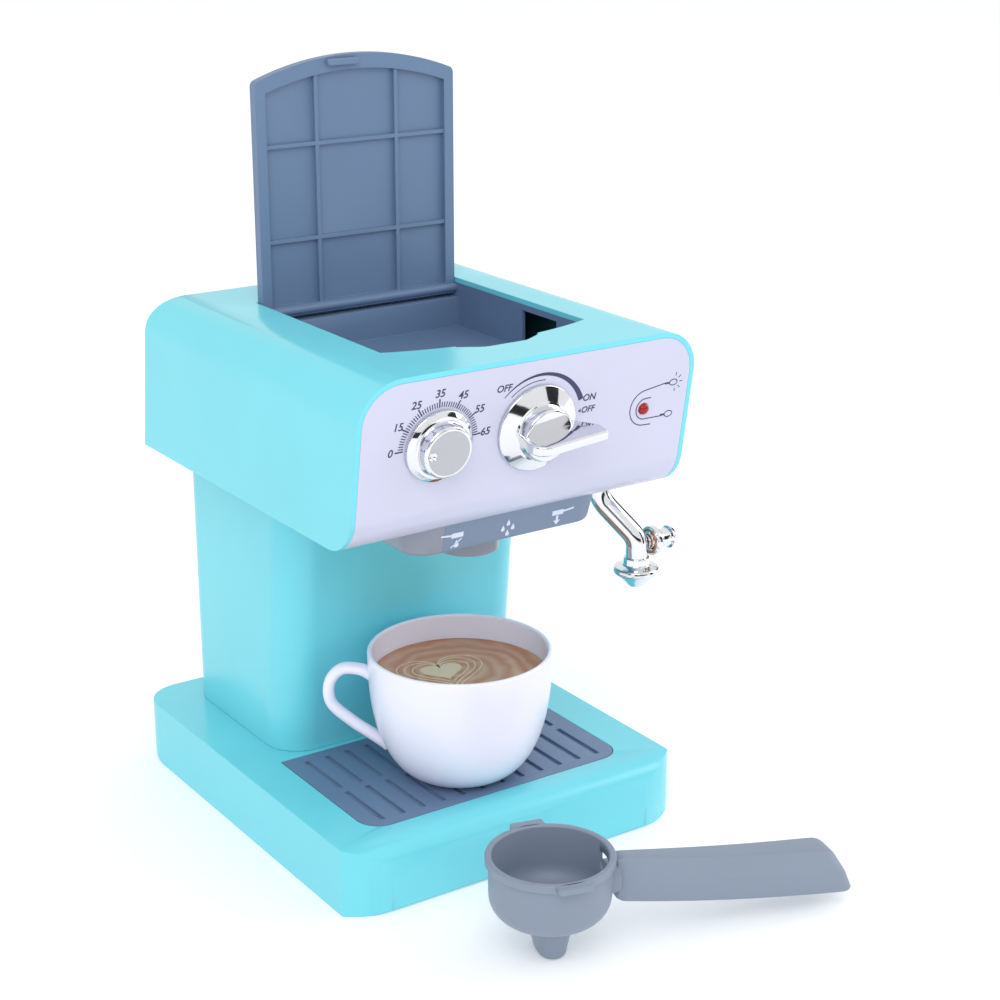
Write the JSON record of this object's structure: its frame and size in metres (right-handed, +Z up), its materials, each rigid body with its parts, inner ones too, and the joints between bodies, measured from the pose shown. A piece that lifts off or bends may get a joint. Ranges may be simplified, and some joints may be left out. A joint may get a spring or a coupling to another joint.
{
  "type": "toy coffee maker",
  "caption": "Play espresso machine with lift-up bin lid, turning dial and knob, swivel steam wand, drip tray, cup of coffee and a loose portafilter.",
  "frame": {"origin": "underside of the base, in the middle of its width and depth", "axes": "+Z up, -Y towards the front panel, +X to the right seen from the front"},
  "size_m": [0.1937, 0.3228, 0.353],
  "materials": {
    "turquoise": "gloss moulded",
    "panel_white": "gloss",
    "slate": "satin moulded",
    "brew_slate": "satin moulded",
    "chrome": "vacuum plated",
    "red_lens": "clear tinted",
    "cup_white": "gloss",
    "coffee": "printed, clear coat",
    "rubber": "matt",
    "screw_steel": "zinc plated",
    "cell": "wrapped",
    "contact": "plated spring steel",
    "board_green": "solder mask",
    "black_plastic": "matt"
  },
  "bodies": {
    "root": {"base_shell": "turquoise", "base_plate": "turquoise", "rubber_feet": "rubber", "base_screws": "screw_steel", "battery_box": "black_plastic", "batteries": "cell", "battery_contacts": "contact", "battery_door": "turquoise", "battery_door_screw": "screw_steel", "speaker": "black_plastic", "column_shell": "turquoise", "rear_cover": "turquoise", "rear_cover_screws": "screw_steel", "head_shell": "turquoise", "front_panel": "panel_white", "bin_liner": "slate", "timer_ratchet": "black_plastic", "mode_switch": "black_plastic", "lamp_lens": "red_lens", "brew_head": "brew_slate", "brew_outlet": "brew_slate", "wand_collar": "chrome", "circuit_board": "board_green", "board_standoffs": "turquoise"},
    "lid": {"lid": "slate"},
    "timer": {"timer_dial": "chrome", "timer_shaft": "screw_steel"},
    "mode": {"mode_knob": "chrome", "mode_shaft": "screw_steel"},
    "wand": {"steam_wand_tube": "chrome", "steam_nozzle": "chrome", "steam_valve": "chrome"},
    "tray": {"drip_tray": "slate"},
    "cup": {"cup": "cup_white", "coffee_disc": "coffee"},
    "portafilter": {"portafilter_bowl": "slate", "portafilter_spout": "slate", "portafilter_handle": "slate"}
  },
  "joints": [
    {"name": "lid_hinge", "type": "hinge", "parent": "root", "child": "lid", "pos_m": [0, 0.03, 0.2385], "axis": [1, 0, 0], "range_deg": [0, 90]},
    {"name": "timer_turn", "type": "hinge", "parent": "root", "child": "timer", "pos_m": [-0.0466, -0.1095, 0.211], "axis": [0, 0.9868, 0.1619], "range_deg": [0, 175]},
    {"name": "mode_turn", "type": "hinge", "parent": "root", "child": "mode", "pos_m": [0.0025, -0.10942, 0.2105], "axis": [0, 0.9868, 0.1619], "range_deg": [-105, 0]},
    {"name": "wand_swivel", "type": "hinge", "parent": "root", "child": "wand", "pos_m": [0.067, -0.068, 0.1665], "axis": [0, 0, 1], "range_deg": [-40, 60]},
    {"name": "tray_lift", "type": "slide", "parent": "root", "child": "tray", "axis": [0, 0, 1], "range_m": [0, 0.025]},
    {"name": "cup_slide", "type": "slide", "parent": "tray", "child": "cup", "axis": [-1, 0, 0], "range_m": [0, 0.14]},
    {"name": "portafilter_lift", "type": "slide", "parent": "root", "child": "portafilter", "axis": [0, 0, 1], "range_m": [0, 0.08]}
  ]
}
